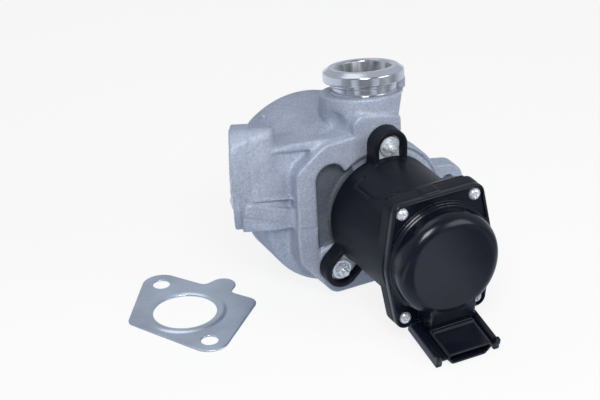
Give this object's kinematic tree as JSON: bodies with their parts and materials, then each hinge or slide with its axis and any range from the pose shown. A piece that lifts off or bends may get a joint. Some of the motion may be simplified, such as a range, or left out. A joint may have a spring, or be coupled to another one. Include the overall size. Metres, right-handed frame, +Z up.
{
  "type": "exhaust gas recirculation valve",
  "caption": "Electric exhaust gas recirculation valve: cast housing with flanged inlet and hose spigot, motor-driven poppet valve under a black actuator, and its flange gasket.",
  "frame": {"origin": "centre of the inlet port at the flange face", "axes": "-Y along the valve axis from the gas chamber to the actuator, +Z up towards the hose spigot, +X from the inlet flange to the mounting ear, which is the longest side"},
  "size_m": [0.1734, 0.1495, 0.1134],
  "materials": {
    "cast_aluminium": "sandy cast, machined where it seals",
    "valve_steel": "ground",
    "guide_bronze": "sintered",
    "seal_rubber": "matte",
    "plain_steel": "turned",
    "spring_steel": "drawn wire",
    "matte_black_plastic": "fine moulded grain",
    "zinc_steel": "bright zinc",
    "can_steel": "drawn and zinc plated",
    "ferrite": "dull dark grey",
    "lamination_steel": "stacked sheets",
    "winding_copper": "enamelled wire",
    "commutator_copper": "turned copper",
    "bearing_steel": "ground",
    "brush_carbon": "pressed carbon",
    "card_plastic": "moulded",
    "nut_brass": "turned",
    "gloss_black_plastic": "smooth moulded",
    "pin_tin": "tin plated",
    "board_green": "solder mask",
    "sensor_black": "moulded",
    "gasket_steel": "satin pressed sheet"
  },
  "bodies": {
    "housing": {"valve_housing": "cast_aluminium", "seat_ring": "valve_steel", "stem_guide": "guide_bronze", "stem_seal": "seal_rubber", "return_spring": "spring_steel", "actuator_body": "matte_black_plastic", "body_seal": "seal_rubber", "cover_seal": "seal_rubber", "lug_plates": "zinc_steel", "lug_screws": "zinc_steel", "motor_can": "can_steel", "field_magnets": "ferrite", "front_bearing": "bearing_steel", "rear_bearing": "bearing_steel", "end_plate": "can_steel", "brushes": "brush_carbon", "brush_card": "card_plastic", "actuator_cover": "gloss_black_plastic", "terminal_pins": "pin_tin", "cover_screws": "zinc_steel", "circuit_board": "board_green", "hall_sensor": "sensor_black", "flange_gasket": "gasket_steel"},
    "rotor": {"rotor_core": "lamination_steel", "rotor_winding": "winding_copper", "rotor_sleeve": "plain_steel", "commutator": "commutator_copper", "spindle_nut": "nut_brass"},
    "spindle": {"lead_spindle": "plain_steel", "position_magnet": "ferrite"},
    "valve": {"poppet_valve": "valve_steel", "spring_retainer": "plain_steel", "retainer_clip": "spring_steel"}
  },
  "joints": [
    {"name": "rotor_spin", "type": "hinge", "parent": "housing", "child": "rotor", "pos_m": [0.064, -0.032, -0.02], "axis": [0, 1, 0], "range_deg": [0, 629]},
    {"name": "spindle_slide", "type": "slide", "parent": "housing", "child": "spindle", "axis": [0, 1, 0], "range_m": [0, 0.007]},
    {"name": "valve_slide", "type": "slide", "parent": "housing", "child": "valve", "axis": [0, 1, 0], "range_m": [0, 0.007], "deforming": ["return_spring"]}
  ],
  "couplings": [
    {"joint": "spindle_slide", "follows": "rotor_spin", "m_per_rad": 0.00063662},
    {"joint": "valve_slide", "follows": "rotor_spin", "m_per_rad": 0.00063662}
  ]
}
